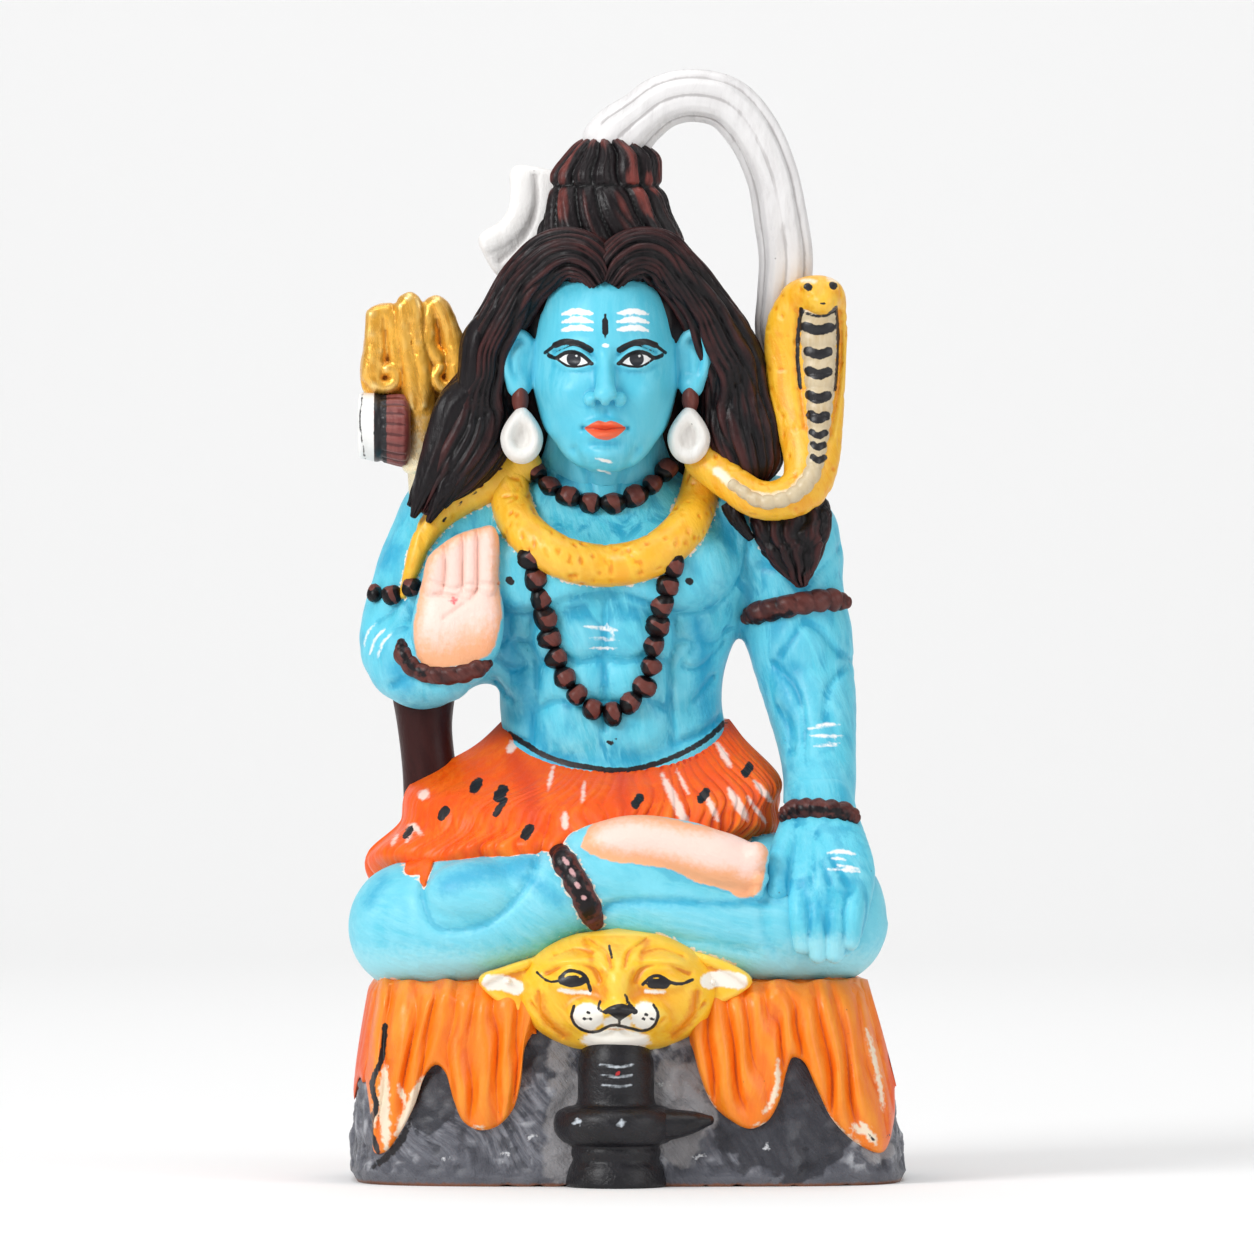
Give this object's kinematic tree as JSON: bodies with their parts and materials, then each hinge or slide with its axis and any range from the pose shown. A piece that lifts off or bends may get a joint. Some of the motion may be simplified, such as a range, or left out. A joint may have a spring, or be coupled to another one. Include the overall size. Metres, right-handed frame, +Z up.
{
  "type": "shiva figure",
  "caption": "Painted clay figure of a seated deity on a rock seat, with trident, hand drum, cobra, tiger pelt and a small altar stone, cast as a whole.",
  "frame": {"origin": "middle of the flat underside: the centre of the object's box in X and Y, on the surface it stands on", "axes": "+Z up the figure; the figure faces -Y; +X to the right as seen from the front"},
  "size_m": [0.151, 0.1096, 0.3008],
  "materials": {
    "painted_clay": "painted, satin"
  },
  "bodies": {
    "root": {"shiva_figure": "painted_clay"}
  },
  "joints": []
}
